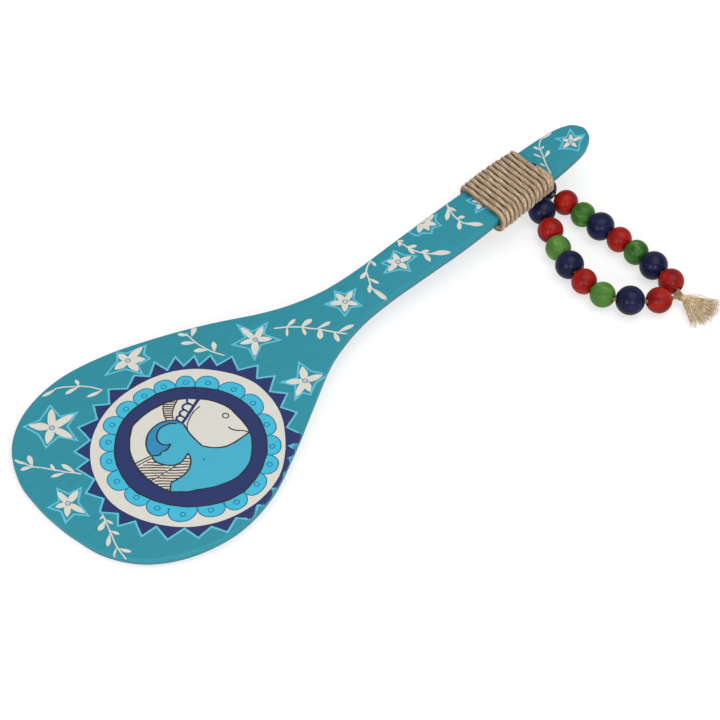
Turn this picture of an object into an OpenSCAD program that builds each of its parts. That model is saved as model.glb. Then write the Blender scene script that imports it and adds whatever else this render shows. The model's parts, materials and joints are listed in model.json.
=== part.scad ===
// Painted wooden serving spoon: a flat board with a twine wrap on its handle and a loop of wooden beads.
// It lies as it rests on a table: blade tip down, handle held up by the first bead of each strand.

/* [Board] */
// Length of the board, from the blade's tip to the handle's end
spoon_len = 334.5; // [300:0.5:380]
// Width of the blade at its widest
blade_w = 117; // [100:1:130]
// Thickness of the handle
handle_t = 4.8; // [4.2:0.1:6]
// Thickness of the blade
blade_t = 4; // [3:0.1:4.2]
// Radius of the rounded rim
rim_r = 1.2; // [0.5:0.1:1.4]
// Slope of the board where it rests, in degrees
tilt = 3.7; // [3.5:0.1:4.5]
// Distance of the hanging hole from the handle's end
hole_from_end = 37.5; // [33:0.5:41]
// Radius of the hanging hole
hole_r = 2.5; // [2:0.1:3]

/* [Twine wrap] */
// Thickness of the jute twine
twine_d = 2.9; // [2:0.1:2.9]
// Number of turns round the handle
wrap_turns = 11.75; // [7.75:1:11.75]
// Step from one turn to the next
wrap_pitch = 2.95; // [2.95:0.05:3.2]
// How far a turn leans along the handle from one edge to the other
wrap_lean = 1; // [0:0.5:3]

/* [Bead loop] */
// Radius of the red beads
red_r = 6.2; // [5.5:0.1:6.3]
// Radius of the green beads
green_r = 6.1; // [5.5:0.1:6.2]
// Radius of the navy beads
navy_r = 6.9; // [6:0.1:7]
// Radius of the first bead of each strand, under the handle
first_r = 6.6; // [6:0.1:6.7]
// Half the length of a bead along its bore, as a share of its radius
bead_flatness = 0.86; // [0.8:0.01:0.87]
// Radius of the bore in each bead
bore_r = 1.7; // [1.4:0.1:1.9]
// Thickness of the bead cord
cord_d = 2; // [1.4:0.1:2.2]
// Radius of the knot where the strands meet
knot_r = 2.8; // [2.2:0.1:3]

/* [Hidden] */
STRANDS = ["a", "b"];
BEADS = 8;

teal = [0.22, 0.58, 0.65];
jute = [0.78, 0.67, 0.53];
bead_colors = [[0.16, 0.17, 0.38], [0.66, 0.13, 0.11], [0.2, 0.5, 0.2]];
round_fn = 64;
hull_fn = 24;

// The hand-cut outline, drawn for this length and width: distance from the tip, half width, and how far
// the middle of the board strays to the side there
drawn_len = 334.5;
drawn_w = 117;
outline = [
    [0, 0, -0.6], [0.8, 13.2, -0.8], [4, 28.2, -1], [13.5, 43.5, -0.5], [30, 54.2, -0.4], [52, 58.5, -0.8],
    [75, 55, -0.8], [98, 45.8, 0.3], [121, 34.3, 1.2], [143, 22.3, 0.9], [158, 16.4, 0.5], [174, 12.7, 0.3],
    [193, 11.6, 0.1], [215, 12, -0.1], [238, 12.4, -0.4], [262, 12.1, -0.3], [288, 11.7, -0.2],
    [304, 11.3, -0.1], [316, 10.5, 0], [324, 9.3, 0.1], [329, 7.4, 0.3], [332.3, 5.1, 0.4], [334.5, 0, 0.4]
];
outline_steps = 5;

// The back of the board steps down from the thinner blade to the handle over this ramp
ramp_start = 0.44 * spoon_len;
ramp_end = 0.5 * spoon_len;
hole_x = spoon_len - hole_from_end;

// The wrap's first turn, counted from the hole, and its distance from the wood
wrap_clear = 0.12;
wrap_start = hole_x - 0.7 - wrap_turns * wrap_pitch;
corner_steps = 4;
cord_sides = 8;

// Where the tilted board's lowest point and the middle of its length come to lie
low_z = rim_r * sin(tilt) + (handle_t - blade_t) * cos(tilt);
mid_x = (spoon_len * cos(tilt) - rim_r * sin(tilt) - (handle_t - rim_r) * sin(tilt)) / 2;
hole_at = [hole_x * cos(tilt) - mid_x, 0, 0];
hole_under_z = hole_x * sin(tilt) - low_z;

// Centres of the beads in plan, measured from the point on the table under the hanging hole
beads_a = [
    [6.8, -2.8], [8, -16.5], [8, -27.5], [7.5, -39],
    [8, -50.5], [7.5, -61.5], [6.3, -73.2], [5, -85.2]
];
beads_b = [
    [-5, -13], [-11.5, -24.5], [-17.5, -35], [-22.5, -46.5],
    [-25, -58], [-25, -69.5], [-19, -81], [-8.5, -89.5]
];
knot_at = hole_at + [1.5, -93, 5];
tassel_tips = [[14.5, -105.5], [5, -110], [-5.5, -108]];
tassel_tip_r = 1.8;
tassel_root_r = 1.6;

// Gap left in the cord at the point where the loop lifts, and how far a strand reaches into the knot
lift_gap = 1;
knot_grip = 1.5;
body_gap = 0.3;

// Route of the cord's turn, in the board's own axes and measured from the foot of the hole:
// up through the hole, over the top face, round the near edge and down below the board
hitch_route = [
    [1, 0, -4.2], [1, 0, 3.2], [1, -0.6, 5.2], [0.9, -2.4, 6.1], [0.8, -5, 6.2], [0.7, -8.4, 6.2],
    [0.6, -11.2, 5.9], [0.4, -12.8, 3.9], [0.3, -12.9, 1.4],
    [-0.1, -12.1, -0.8], [-0.5, -10.9, -2], [-0.6, -9.8, -3.2], [-0.7, -9.1, -4.3]
];
// Routes of the two necks from under the board to the first beads, measured from the foot of the hole
neck_a_route = [
    [1.3, 0.2, 13.3], [1.4, 0.4, 12.5], [2.5, 1.9, 11.3], [4.4, 3.5, 9.9], [6, 4.9, 8.2]
];
neck_b_route = [
    [-0.5, -8.9, 13.2], [-0.5, -8.7, 12.5], [-0.5, -7.6, 11.3], [-0.6, -6.5, 9.8], [-0.9, -5.9, 7.8]
];

function unit(v) = v / norm(v);
function mix(p, q, u) = p * (1 - u) + q * u;
function last(v) = v[len(v) - 1];
function spline(p, q, r, s, u) =
    q + 0.5 * u * (r - p + u * (2 * p - 5 * q + 4 * r - s + u * (3 * (q - r) + s - p)));

// Smooth half outline, from the tip to the handle's end
ctrl = [for (c = outline) [c[0] * spoon_len / drawn_len, c[1] * blade_w / drawn_w, c[2]]];
function mirrored(c) = [c[0], -c[1], c[2]];
tip_mirror = mirrored(ctrl[1]);
end_mirror = mirrored(ctrl[len(ctrl) - 2]);
ctrl_all = concat([tip_mirror], ctrl, [end_mirror]);
edge = concat(
    [for (i = [0:len(ctrl) - 2], k = [0:outline_steps - 1])
        spline(ctrl_all[i], ctrl_all[i + 1], ctrl_all[i + 2], ctrl_all[i + 3], k / outline_steps)],
    [last(ctrl)]
);
edge_n = len(edge);
edge_normals = [for (i = [0:edge_n - 1]) let (
    before = i == 0 ? mirrored(edge[1]) : edge[i - 1],
    after = i == edge_n - 1 ? mirrored(edge[i - 1]) : edge[i + 1],
    d = unit([after[0] - before[0], after[1] - before[1]])
) [-d[1], d[0], 0]];

function half_width(x) = lookup(x, [for (i = [3:len(ctrl) - 1]) [ctrl[i][0], ctrl[i][1]]]);
function stray(x) = lookup(x, [for (c = ctrl) [c[0], c[2]]]);
function back_z(x) = lookup(x, [[ramp_start, handle_t - blade_t], [ramp_end, 0]]);

// One closed ring of the board: the outline pulled in, at a height above the back or below the top face
function ring(pull_in, from_back, from_top) = let (
    half = [for (i = [0:edge_n - 1]) edge[i] - pull_in * edge_normals[i]],
    heights = [for (p = half) from_top == undef ? back_z(p[0]) + from_back : handle_t - from_top]
) concat(
    [for (i = [0:edge_n - 1]) [half[i][0], half[i][2] + half[i][1], heights[i]]],
    [for (i = [edge_n - 2:-1:1]) [half[i][0], half[i][2] - half[i][1], heights[i]]]
);

// Cord points and the rings along them
function tangents(p) = [for (i = [0:len(p) - 1]) unit(p[min(i + 1, len(p) - 1)] - p[max(i - 1, 0)])];
function carry(t, n, i = 0) =
    i >= len(t) ? [] : let (m = unit(n - (n * t[i]) * t[i])) concat([m], carry(t, m, i + 1));
function any_normal(t) = unit(cross(t, abs(t[2]) < 0.8 ? [0, 0, 1] : [1, 0, 0]));

// Beads of a strand: radius, half length, centre and bore direction
function bead_radius(i) = i == 0 ? first_r : [navy_r, red_r, green_r][i % 3];
function half_len(i) = bead_radius(i) * bead_flatness;
function centres(plan) = [for (i = [0:BEADS - 1]) hole_at + [plan[i][0], plan[i][1], bead_radius(i)]];
function bore_dir(c, i) = unit((i == BEADS - 1 ? knot_at : c[i + 1]) - (i == 0 ? c[0] : c[i - 1]));
function bore_ends(c, i) = [for (s = [-1, 0, 1]) c[i] + s * half_len(i) * bore_dir(c, i)];
function gap_mid(c) = mix(last(bore_ends(c, 0)), bore_ends(c, 1)[0], 0.5);
centres_a = centres(beads_a);
centres_b = centres(beads_b);

// A neck runs from under the board through the first bead, and a strand runs on from there into the knot
function neck_path(route, c) = concat(
    [for (p = route) hole_at + p], bore_ends(c, 0), [gap_mid(c) - lift_gap / 2 * bore_dir(c, 0)]
);
function strand_path(c) = concat(
    [gap_mid(c) + lift_gap / 2 * unit(c[1] - c[0])],
    [for (i = [1:BEADS - 1], p = bore_ends(c, i)) p],
    [knot_at + (knot_r - knot_grip) * unit(last(bore_ends(c, BEADS - 1)) - knot_at)]
);

// One turn of the wrap as an angle goes round, with the corners of the board rounded off
function wrap_point(turn) = let (
    step = floor(turn % 1 * 4 * corner_steps + 0.5),
    corner = floor(step / corner_steps) % 4,
    part = step % corner_steps / (corner_steps - 1),
    angle = -90 - 90 * corner - 90 * part,
    x = wrap_start + turn * wrap_pitch,
    out = twine_d / 2 + wrap_clear,
    y_sign = corner == 0 || corner == 1 ? -1 : 1,
    z_sign = corner == 0 || corner == 3 ? -1 : 1,
    y = stray(x) + y_sign * (half_width(x) - rim_r) + (rim_r + out) * cos(angle),
    z = handle_t / 2 + z_sign * (handle_t / 2 - rim_r) + (rim_r + out) * sin(angle)
) [x + wrap_lean / 2 * y / half_width(x), y, z];
wrap_path = [for (i = [0:wrap_turns * 4 * corner_steps]) wrap_point(i / (4 * corner_steps))];

// The board's own axes, laid in the row's frame
module on_board() {
    translate([-mid_x, 0, -low_z]) rotate([0, -tilt, 0]) children();
}

module tube(path, d, sides) {
    t = tangents(path);
    n = carry(t, any_normal(t[0]));
    count = len(path);
    points = [for (i = [0:count - 1], k = [0:sides - 1])
        path[i] + d / 2 * (cos(360 * k / sides) * n[i] + sin(360 * k / sides) * cross(t[i], n[i]))];
    walls = [for (i = [0:count - 2], k = [0:sides - 1]) let (j = (k + 1) % sides)
        [i * sides + k, (i + 1) * sides + k, (i + 1) * sides + j, i * sides + j]];
    start = [for (k = [0:sides - 1]) k];
    end = [for (k = [sides - 1:-1:0]) (count - 1) * sides + k];
    polyhedron(concat(points), concat(walls, [start, end]));
}

module paddle() {
    arc = [for (a = [90, 45, 0]) [rim_r * (1 - cos(a)), rim_r * (1 - sin(a))]];
    rings = concat(
        [for (p = arc) ring(p[0], p[1])],
        [for (i = [2:-1:0]) ring(arc[i][0], 0, arc[i][1])]
    );
    m = len(rings[0]);
    top = (len(rings) - 1) * m;
    walls = [for (r = [0:len(rings) - 2], i = [0:m - 1]) let (j = (i + 1) % m)
        [r * m + i, r * m + j, (r + 1) * m + j, (r + 1) * m + i]];
    // Each cap is a row of strips across the board, so that a flat stretch is one flat face
    back = [for (i = [0:edge_n - 2])
        i == 0 ? [0, m - 1, 1] : i == edge_n - 2 ? [i, m - i, i + 1] : [i, m - i, m - i - 1, i + 1]];
    front = [for (f = back) [for (i = [len(f) - 1:-1:0]) f[i] + top]];
    color(teal) on_board() difference() {
        polyhedron([for (r = rings, p = r) p], concat(walls, back, front));
        translate([hole_x, 0, -1]) cylinder(r = hole_r, h = handle_t + 2, $fn = round_fn);
    }
}

module handle_wrap() {
    color(jute) on_board() tube(wrap_path, twine_d, cord_sides);
}

module cord_hitch() {
    color(jute) on_board() tube([for (p = hitch_route) [hole_x, 0, 0] + p], cord_d, cord_sides);
}

module neck(route, c) {
    color(jute) tube(neck_path(route, c), cord_d, cord_sides);
}

module strand(c) {
    color(jute) tube(strand_path(c), cord_d, cord_sides);
}

module cord_knot() {
    color(jute) translate(knot_at) sphere(r = knot_r, $fn = round_fn);
}

module tassel() {
    root = knot_at + (knot_r + body_gap + tassel_root_r) * [0.12, -0.99, 0];
    color(jute) hull() {
        translate(root) sphere(r = tassel_root_r, $fn = hull_fn);
        for (p = tassel_tips)
            translate(hole_at + [p[0], p[1], tassel_tip_r + 0.2]) sphere(r = tassel_tip_r, $fn = hull_fn);
    }
}

// A bead is a round arc turned about its bore, cut off where the bore comes through
module bead(c, i) {
    r = bead_radius(i);
    wall = r - bore_r;
    arc_r = (pow(half_len(i), 2) + pow(wall, 2)) / (2 * wall);
    d = bore_dir(c, i);
    color(bead_colors[i % 3]) translate(c[i]) rotate([0, acos(d[2]), atan2(d[1], d[0])])
        rotate_extrude($fn = round_fn) intersection() {
            translate([r - arc_r, 0]) circle(r = arc_r, $fn = round_fn);
            translate([bore_r, -r]) square([r, 2 * r]);
        }
}

paddle();
handle_wrap();
cord_hitch();
neck(neck_a_route, centres_a);  // neck_a
neck(neck_b_route, centres_b);  // neck_b
strand(centres_a);  // strand_a
strand(centres_b);  // strand_b
cord_knot();
tassel();
for (i = [0:BEADS - 1]) {
    bead(centres_a, i);
    bead(centres_b, i);
}
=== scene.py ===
"""Painted wooden serving spoon with a twine-wrapped handle and a loop of wooden beads, on a pale table."""

import json
import math
import random

import bpy
import numpy as np
from mathutils import Matrix, Quaternion, Vector, geometry, noise


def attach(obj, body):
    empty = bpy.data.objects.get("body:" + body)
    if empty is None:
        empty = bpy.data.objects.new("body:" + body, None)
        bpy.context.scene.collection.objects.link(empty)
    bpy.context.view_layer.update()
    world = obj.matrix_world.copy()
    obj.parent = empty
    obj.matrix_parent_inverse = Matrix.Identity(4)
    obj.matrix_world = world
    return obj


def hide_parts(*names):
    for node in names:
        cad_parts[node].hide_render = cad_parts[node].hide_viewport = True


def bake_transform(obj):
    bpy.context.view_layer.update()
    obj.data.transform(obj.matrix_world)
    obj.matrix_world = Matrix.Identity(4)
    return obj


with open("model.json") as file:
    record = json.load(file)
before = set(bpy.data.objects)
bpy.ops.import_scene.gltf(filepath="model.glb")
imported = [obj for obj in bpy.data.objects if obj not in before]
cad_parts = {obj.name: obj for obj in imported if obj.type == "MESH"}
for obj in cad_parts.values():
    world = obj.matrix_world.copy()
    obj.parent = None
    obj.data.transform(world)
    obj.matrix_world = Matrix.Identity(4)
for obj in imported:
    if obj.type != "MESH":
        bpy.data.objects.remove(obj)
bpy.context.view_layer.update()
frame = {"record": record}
record = frame["record"]
MM = 0.001
rng = random.Random(7)

# ---------------------------------------------------------------- camera and lights
CAMERA_AZIMUTH, CAMERA_ELEVATION, CAMERA_ROLL = -47.6, 46.5, 3.8
CAMERA_AIM, CAMERA_DISTANCE, CAMERA_LENS = Vector((-0.00285, -0.0195, -0.0001)), 1.261, 140


def direction(azimuth, elevation):
    """From the object towards a place at that azimuth and elevation, in degrees."""
    a, e = math.radians(azimuth), math.radians(elevation)
    return Vector((math.sin(a) * math.cos(e), -math.cos(a) * math.cos(e), math.sin(e)))


def link(name, data):
    obj = bpy.data.objects.new(name, data)
    bpy.context.scene.collection.objects.link(obj)
    return obj


camera = link("camera", bpy.data.cameras.new("camera"))
camera.data.lens = CAMERA_LENS
camera.data.sensor_width = 36
camera.data.clip_start, camera.data.clip_end = 0.05, 20
back = direction(CAMERA_AZIMUTH, CAMERA_ELEVATION)
camera.location = CAMERA_AIM + back * CAMERA_DISTANCE
camera.rotation_mode = "QUATERNION"
roll = Quaternion((0, 0, 1), math.radians(CAMERA_ROLL))
camera.rotation_quaternion = (-back).to_track_quat("-Z", "Y") @ roll
bpy.context.scene.camera = camera


def area_light(name, azimuth, elevation, distance, size, power):
    """A soft light aimed at the object: degrees, metres and watts."""
    light = bpy.data.lights.new(name, "AREA")
    light.shape = "RECTANGLE"
    light.size, light.size_y = size
    light.energy = power
    obj = link(name, light)
    away = direction(azimuth, elevation)
    obj.location = away * distance
    obj.rotation_mode = "QUATERNION"
    obj.rotation_quaternion = (-away).to_track_quat("-Z", "Y")


area_light("softbox_left", CAMERA_AZIMUTH - 24, 24, 1.7, (0.5, 0.7), 9)
area_light("softbox_right", CAMERA_AZIMUTH + 20, 26, 1.7, (0.4, 0.6), 8)
area_light("overhead", 20, 75, 1.8, (1.6, 1.6), 22)

WORLD_LEVEL = 0.62
world = bpy.data.worlds.new("studio")
bpy.context.scene.world = world
world.use_nodes = True
world.node_tree.nodes["Background"].inputs["Color"].default_value = (1, 1, 1, 1)
world.node_tree.nodes["Background"].inputs["Strength"].default_value = WORLD_LEVEL
bpy.context.scene.view_settings.view_transform = "Standard"
bpy.context.scene.view_settings.look = "None"


# ---------------------------------------------------------------- shared mesh and material tools
def unit(v):
    """The vector, or each row of vectors, at length 1."""
    v = np.asarray(v, float)
    return v / np.linalg.norm(v, axis=-1, keepdims=True)


def spline(points, steps, closed=False):
    """A smooth line through the points."""
    p = np.asarray(points, float)
    n = len(p)
    if closed:
        at = lambda i: p[i % n]
    else:
        at = lambda i: p[i] if 0 <= i < n else (2 * p[0] - p[1] if i < 0 else 2 * p[-1] - p[-2])
    out = []
    for i in range(n if closed else n - 1):
        a, b, c, d = at(i - 1), at(i), at(i + 1), at(i + 2)
        for k in range(steps):
            u = k / steps
            out.append(b + 0.5 * u * (c - a + u * (2 * a - 5 * b + 4 * c - d + u * (3 * (b - c) + d - a))))
    if not closed:
        out.append(p[-1])
    return np.array(out)


def resample(line, step):
    """The same line with points an even step apart."""
    line = np.asarray(line, float)
    run = np.concatenate([[0], np.cumsum(np.linalg.norm(np.diff(line, axis=0), axis=1))])
    count = max(2, int(round(run[-1] / step)) + 1)
    at = np.linspace(0, run[-1], count)
    return np.stack([np.interp(at, run, line[:, k]) for k in range(line.shape[1])], 1)


def make_object(name, verts, faces, smooth_angle=35, uvs=None):
    """An object from points in millimetres of the row frame."""
    mesh = bpy.data.meshes.new(name)
    mesh.from_pydata((np.asarray(verts, float) * MM).tolist(), [], faces)
    mesh.validate()
    mesh.polygons.foreach_set("use_smooth", [True] * len(mesh.polygons))
    mesh.set_sharp_from_angle(angle=math.radians(smooth_angle))
    if uvs is not None:
        layer = mesh.uv_layers.new(name="UVMap")
        loop_verts = np.zeros(len(mesh.loops), np.int32)
        mesh.loops.foreach_get("vertex_index", loop_verts)
        layer.data.foreach_set("uv", np.asarray(uvs, np.float32)[loop_verts].ravel())
    mesh.update()
    return link(name, mesh)


def finish_piece(obj, material, body, replaced=()):
    """Give a piece its material, the body it rides on and the CAD nodes it stands for."""
    obj.data.materials.clear()
    obj.data.materials.append(material)
    if body:
        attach(obj, body)
    if replaced:
        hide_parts(*replaced)
    return obj


class Shader:
    """A principled material with a few node helpers."""

    def __init__(self, name, roughness=0.5, coat=0.0, sheen=0.0):
        self.mat = bpy.data.materials.new(name)
        self.mat.use_nodes = True
        self.tree = self.mat.node_tree
        self.bsdf = self.tree.nodes["Principled BSDF"]
        self.set(Roughness=roughness, Coat_Weight=coat, Sheen_Weight=sheen)
        self.coords = self.add("ShaderNodeTexCoord")

    def add(self, kind, **values):
        node = self.tree.nodes.new(kind)
        for key, value in values.items():
            setattr(node, key, value)
        return node

    def set(self, **values):
        """Plain values for the surface: an input's name, with _ for a space."""
        for key, value in values.items():
            self.bsdf.inputs[key.replace("_", " ")].default_value = value

    def link(self, a, b):
        self.tree.links.new(a, b)

    def noise(self, scale, detail=3.0, roughness=0.55, source=None):
        """Noise with that many cells to the metre along each axis of the source."""
        if source is None:
            source = self.coords.outputs["Object"]
        mapping = self.add("ShaderNodeMapping")
        mapping.inputs["Scale"].default_value = scale
        self.link(source, mapping.inputs["Vector"])
        node = self.add("ShaderNodeTexNoise")
        node.inputs["Scale"].default_value = 1
        node.inputs["Detail"].default_value = detail
        node.inputs["Roughness"].default_value = roughness
        self.link(mapping.outputs["Vector"], node.inputs["Vector"])
        return node.outputs["Fac"]

    def ramp(self, value, stops):
        node = self.add("ShaderNodeValToRGB")
        ramp = node.color_ramp
        while len(ramp.elements) < len(stops):
            ramp.elements.new(0.5)
        for element, (at, color) in zip(ramp.elements, stops):
            element.position = at
            element.color = (*color, 1)
        self.link(value, node.inputs["Fac"])
        return node.outputs["Color"]

    def mask(self, value, start, end, low=0.0, high=1.0):
        """Grey that goes from low to high as the value goes from start to end."""
        return self.ramp(value, [(start, (low, low, low)), (end, (high, high, high))])

    def mix(self, fac, a, b, blend="MIX"):
        node = self.add("ShaderNodeMix", data_type="RGBA", blend_type=blend)
        for value, socket in ((fac, node.inputs[0]), (a, node.inputs[6]), (b, node.inputs[7])):
            if isinstance(value, bpy.types.NodeSocket):
                self.link(value, socket)
            else:
                socket.default_value = value if isinstance(value, float) else (*value, 1)
        return node.outputs[2]

    def math(self, operation, a, b):
        node = self.add("ShaderNodeMath", operation=operation)
        for value, socket in ((a, node.inputs[0]), (b, node.inputs[1])):
            if isinstance(value, bpy.types.NodeSocket):
                self.link(value, socket)
            else:
                socket.default_value = value
        return node.outputs[0]

    def color(self, socket):
        self.link(socket, self.bsdf.inputs["Base Color"])

    def rough(self, value, low, high):
        node = self.add("ShaderNodeMapRange")
        node.inputs["To Min"].default_value = low
        node.inputs["To Max"].default_value = high
        self.link(value, node.inputs["Value"])
        self.link(node.outputs["Result"], self.bsdf.inputs["Roughness"])

    def bump(self, value, distance_mm, strength=1.0):
        node = self.add("ShaderNodeBump")
        node.inputs["Strength"].default_value = strength
        node.inputs["Distance"].default_value = distance_mm * MM
        self.link(value, node.inputs["Height"])
        self.link(node.outputs["Normal"], self.bsdf.inputs["Normal"])


LIGHT_LEVEL = 1.5  # how much brighter than its own colour a surface shows under these lights


def srgb(r, g, b):
    """Linear colour that shows as these 0-255 display values under the studio light."""
    lin = lambda c: c / 12.92 if c <= 0.04045 else ((c + 0.055) / 1.055) ** 2.4
    return tuple(lin(c / 255) / LIGHT_LEVEL for c in (r, g, b))


def scaled(color, k):
    return tuple(min(1.0, c * k) for c in color)


def paint_material(name, color, streak=0.08, low_edge_color=None):
    """Hand-brushed satin paint: streaks along the board, dry blotches and a fine tooth.

    A second colour, greyer and darker, shows low on the edge, where UV's first value, the height up the edge,
    is small. Near the top of the edge a painted highlight lightens a thin band.
    """
    s = Shader(name)
    s.set(Specular_IOR_Level=0.22)
    streaks = s.noise((60, 900, 900), detail=5, roughness=0.65)
    blotch = s.noise((90, 90, 90))
    tone = s.ramp(streaks, [(0.3, scaled(color, 1 - streak)), (0.7, scaled(color, 1 + streak))])
    tone = s.mix(s.mask(blotch, 0.35, 0.65), tone, s.mix(0.5, tone, color))
    if low_edge_color:
        split = s.add("ShaderNodeSeparateXYZ")
        s.link(s.coords.outputs["UV"], split.inputs[0])
        height = s.math("ADD", split.outputs[0], s.math("MULTIPLY", streaks, 0.22))
        low_edge_mask = s.mask(height, 0.3, 0.62, 0.85, 0)
        # Painted highlight: a thin band of lighter paint colour near the top of the edge, where the rounded
        # rim catches the light
        glint = s.ramp(height, [(0.78, (0, 0, 0)), (0.85, (0.4, 0.4, 0.4)), (0.92, (0, 0, 0))])
        tone = s.mix(low_edge_mask, tone, low_edge_color)
        tone = s.mix(glint, tone, scaled(color, 1.6))
    s.color(tone)
    s.rough(blotch, 0.42, 0.56)
    tooth = s.noise((1500, 1500, 1500), detail=2)
    s.bump(s.math("ADD", streaks, s.math("MULTIPLY", tooth, 0.35)), 0.05, 0.5)
    return s.mat


# ---------------------------------------------------------------- cords
joints = {j["name"]: j for j in record["behaviour"]["joints"]}
SWING_FROM_HOLE = np.array([1.5, -5.5, 8])
# The point on the table under the hanging hole
hole_foot = np.array(joints["loop_swing"]["pos_m"]) / MM - SWING_FROM_HOLE
knot = np.array(joints["tassel_swing"]["pos_m"]) / MM
BEADS = 8
FIRST_R, NAVY_R, RED_R, GREEN_R = 6.6, 6.9, 6.2, 6.1
FLATNESS, BORE_R, CORD_D = 0.86, 1.7, 2.0
KNOT_R, KNOT_GRIP = 2.8, 1.5  # the knot holds each strand to this depth
PLIES, CORD_LAY, CORD_SIDES = 3, 7, 15


def bead_radius(i):
    return FIRST_R if i == 0 else (NAVY_R, RED_R, GREEN_R)[i % 3]


def bead_centre(strand, i):
    return np.array(joints[f"bead_{strand}{i + 1}_spin"]["pos_m"]) / MM


def bore(strand, i):
    return unit(joints[f"bead_{strand}{i + 1}_spin"]["axis"])


def bore_ends(strand, i):
    return [bead_centre(strand, i) + s * bead_radius(i) * FLATNESS * bore(strand, i) for s in (-1, 0, 1)]


def gap_mid(strand):
    return (bore_ends(strand, 0)[2] + bore_ends(strand, 1)[0]) / 2


def ply_radius(theta, depth):
    """Outline of round plies laid side by side, as a share of the whole radius."""
    half = math.pi / PLIES
    offset = (theta + half) % (2 * half) - half
    plain = 0.5 * np.cos(offset) + np.sqrt(np.maximum(0.5**2 - (0.5 * np.sin(offset)) ** 2, 0.002))
    return 1 - depth * (1 - plain)


def rope(path, diameter, pitch, sides, phase=0.0, taper=None, lumps=0.04, seed=0.0, depth=0.8):
    """Points, faces and UVs of a twisted cord along a path, closed by a flat cap at each end."""
    p = np.asarray(path, float)
    t = unit(np.gradient(p, axis=0))
    side = np.cross(t[0], (0, 0, 1) if abs(t[0][2]) < 0.8 else (1, 0, 0))
    n = [unit(side)]
    for k in range(1, len(p)):
        v = n[-1] - t[k] * (n[-1] @ t[k])
        n.append(unit(v))
    n = np.array(n)
    b = np.cross(t, n)
    run = np.concatenate([[0], np.cumsum(np.linalg.norm(np.diff(p, axis=0), axis=1))])
    verts, uvs, faces = [], [], []
    angles = np.arange(sides) * 2 * math.pi / sides
    for k in range(len(p)):
        r = diameter / 2 * ply_radius(angles - 2 * math.pi * run[k] / pitch - phase, depth)
        if taper is not None:
            r = r * taper(run[k], run[-1])
        if lumps:
            spots = [Vector((run[k] * 0.35, math.cos(a) * 0.8 + seed, math.sin(a) * 0.8)) for a in angles]
            r = r * (1 + lumps * np.array([noise.noise(spot) for spot in spots]))
        verts.append(p[k] + r[:, None] * (np.cos(angles)[:, None] * n[k] + np.sin(angles)[:, None] * b[k]))
        uvs.append(np.stack([np.full(sides, run[k]), angles / (2 * math.pi) - run[k] / pitch], 1))
    verts, uvs = np.concatenate(verts), np.concatenate(uvs)
    for k in range(len(p) - 1):
        for j in range(sides):
            m = (j + 1) % sides
            faces.append((k * sides + j, k * sides + m, (k + 1) * sides + m, (k + 1) * sides + j))
    start, end = len(verts), len(verts) + 1
    verts = np.vstack([verts, p[0], p[-1]])
    uvs = np.vstack([uvs, (0, 0), (run[-1], 0)])
    last = (len(p) - 1) * sides
    for j in range(sides):
        m = (j + 1) % sides
        faces.append((start, m, j))
        faces.append((end, last + j, last + m))
    return verts, faces, uvs


def join_parts(parts):
    """Several sets of points, faces and UVs as one set."""
    verts, faces, uvs, base = [], [], [], 0
    for v, f, u in parts:
        verts.append(v)
        uvs.append(u)
        faces += [tuple(base + i for i in face) for face in f]
        base += len(v)
    return np.concatenate(verts), faces, np.concatenate(uvs)


def jute_material(name, light, dark, fibre_scale=1.0, painted_groove_shade=False):
    """Loose jute: fibres run along the cord, dull and slightly fuzzy.

    When asked for, a weight stored on the mesh paints shade into the grooves between turns and plies,
    darkening them.
    """
    s = Shader(name, roughness=0.86, sheen=0.12)
    s.set(Sheen_Roughness=0.6, Specular_IOR_Level=0.2)
    along = s.coords.outputs["UV"]
    fine = s.noise((0.35, 26 * fibre_scale, 1), detail=4, roughness=0.7, source=along)
    broad = s.noise((0.12, 5 * fibre_scale, 1), detail=2, source=along)
    patch = s.noise((160, 160, 160))
    between = tuple((a + b) / 2 for a, b in zip(light, dark))
    tone = s.ramp(fine, [(0.28, dark), (0.5, between), (0.68, light)])
    tone = s.mix(s.mask(broad, 0.35, 0.7), tone, light)
    shade = s.ramp(patch, [(0.3, (0.82, 0.8, 0.78)), (0.7, (1.0, 1.0, 1.0))])
    specks = s.noise((1000, 1000, 1000))
    fleck = s.ramp(specks, [(0.36, (0.72, 0.68, 0.64)), (0.62, (1.0, 1.0, 1.0))])
    tone = s.mix(1.0, s.mix(1.0, tone, shade, "MULTIPLY"), fleck, "MULTIPLY")
    # Painted shade in the grooves between turns and plies, by the weight stored on the mesh
    if painted_groove_shade:
        groove = s.add("ShaderNodeAttribute", attribute_name="groove_shade_weight")
        groove_shade_amount = s.math("MULTIPLY", groove.outputs["Fac"], s.math("ADD", broad, 0.45))
        tone = s.mix(groove_shade_amount, tone, scaled(dark, 0.2))
    s.color(tone)
    s.bump(s.math("ADD", fine, s.math("MULTIPLY", broad, 0.5)), 0.18, 0.8)
    return s.mat


twine_mat = jute_material("twine_jute", srgb(252, 222, 186), srgb(150, 114, 82), painted_groove_shade=True)
# The strands, the knot and the hitch are one cord: its darker jute on the strands and knot and its lighter
# jute on the hitch are partly painted shade and painted light
cord_mat = jute_material("cord_jute", srgb(206, 164, 120), srgb(120, 85, 54), 0.8)
hitch_mat = jute_material("hitch_jute", srgb(240, 206, 166), srgb(146, 110, 78), 0.9)
fibre_mat = jute_material("fibre_jute", srgb(255, 236, 200), srgb(244, 194, 140), 0.3)

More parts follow.
